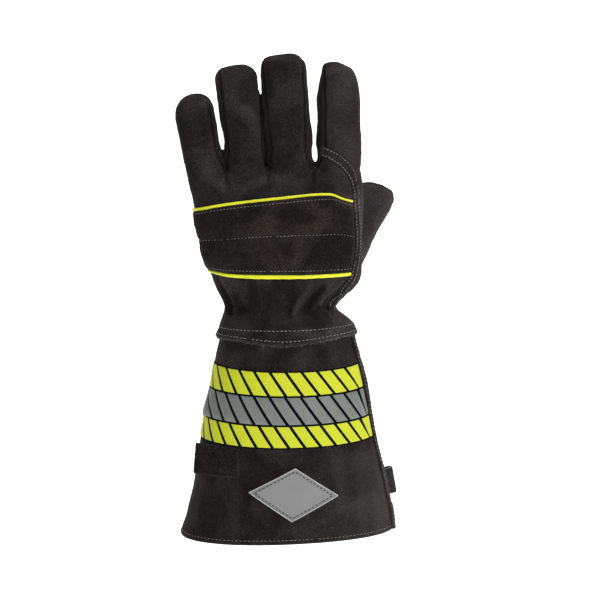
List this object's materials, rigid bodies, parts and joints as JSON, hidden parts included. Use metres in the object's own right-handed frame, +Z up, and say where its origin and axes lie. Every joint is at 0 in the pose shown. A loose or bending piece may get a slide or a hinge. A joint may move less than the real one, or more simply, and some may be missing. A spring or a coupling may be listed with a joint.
{
  "type": "firefighter glove",
  "caption": "Left-hand leather firefighting glove with padded knuckle guard, gathered wrist and long flared gauntlet cuff with a segmented reflective band.",
  "frame": {"origin": "under the middle of the glove, on the plane that the hem of the cuff stands on", "axes": "+Z up to the fingertips, +X to the thumb side, -Y out of the back of the hand"},
  "size_m": [0.1724, 0.1056, 0.3705],
  "materials": {
    "back_leather": "napped split suede, black-brown, dry and fibrous, light grey seam thread",
    "palm_leather": "napped split suede, black-brown, a little rubbed",
    "side_leather": "napped split suede, darker in the folds between the fingers",
    "guard_leather": "napped split suede over soft padding",
    "cuff_leather": "napped split suede, flat and matt, slightly paler where it is handled",
    "yellow_piping": "smooth fluorescent yellow vinyl",
    "yellow_tape": "fluorescent yellow coated tape in slanted segments with black between",
    "silver_tape": "retroreflective silver-grey tape in slanted segments with black between",
    "label_cloth": "finely woven grey label with a stitched black border",
    "loop_pile": "dull black loop pile of a hook-and-loop fastener",
    "webbing": "narrow woven black webbing, folded into a loop"
  },
  "bodies": {
    "root": {"hand_back": "back_leather", "index_cover": "back_leather", "hand_palm": "palm_leather", "side_strip_little_ring": "side_leather", "side_strip_ring_middle": "side_leather", "side_strip_middle_index": "side_leather", "thumb": "palm_leather", "seam_strip": "back_leather", "knuckle_guard": "guard_leather", "piping_upper": "yellow_piping", "piping_lower": "yellow_piping", "cuff": "cuff_leather", "cuff_binding": "cuff_leather", "tape_lower": "yellow_tape", "tape_silver": "silver_tape", "tape_upper": "yellow_tape", "label": "label_cloth", "hook_patch": "loop_pile", "hang_loop": "webbing"}
  },
  "joints": []
}
